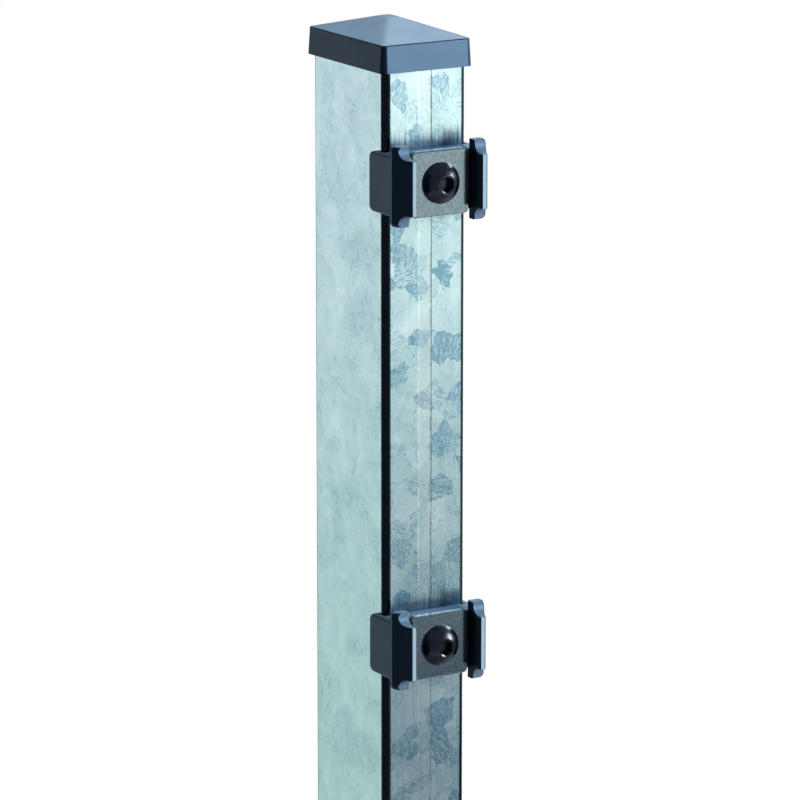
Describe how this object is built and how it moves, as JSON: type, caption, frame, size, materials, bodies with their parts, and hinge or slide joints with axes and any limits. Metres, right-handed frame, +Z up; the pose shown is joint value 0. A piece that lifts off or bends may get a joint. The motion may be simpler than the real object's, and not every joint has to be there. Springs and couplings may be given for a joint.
{
  "type": "fence post",
  "caption": "Rectangular galvanised steel fence post with a plastic cap and bolted saddle clips that seat the rods of mesh fence panels.",
  "frame": {"origin": "centre of the tube's cut lower end", "axes": "+Z up the post, -Y out of the face that carries the clips"},
  "size_m": [0.0452, 0.0817, 1.0087],
  "materials": {
    "galvanised_steel": "galvanised, spangled",
    "black_plastic": "moulded, satin",
    "dark_plate": "satin, fine grained",
    "black_bolt": "black, glossy",
    "zinc_plate": "zinc plated"
  },
  "bodies": {
    "root": {"post_tube": "galvanised_steel", "post_cap": "black_plastic", "panel_saddle_1": "black_plastic", "clamp_plate_1": "dark_plate", "panel_saddle_2": "black_plastic", "clamp_plate_2": "dark_plate", "panel_saddle_3": "black_plastic", "clamp_plate_3": "dark_plate", "panel_saddle_4": "black_plastic", "clamp_plate_4": "dark_plate", "clamp_bolts": "black_bolt", "rivet_nuts": "zinc_plate"}
  },
  "joints": []
}
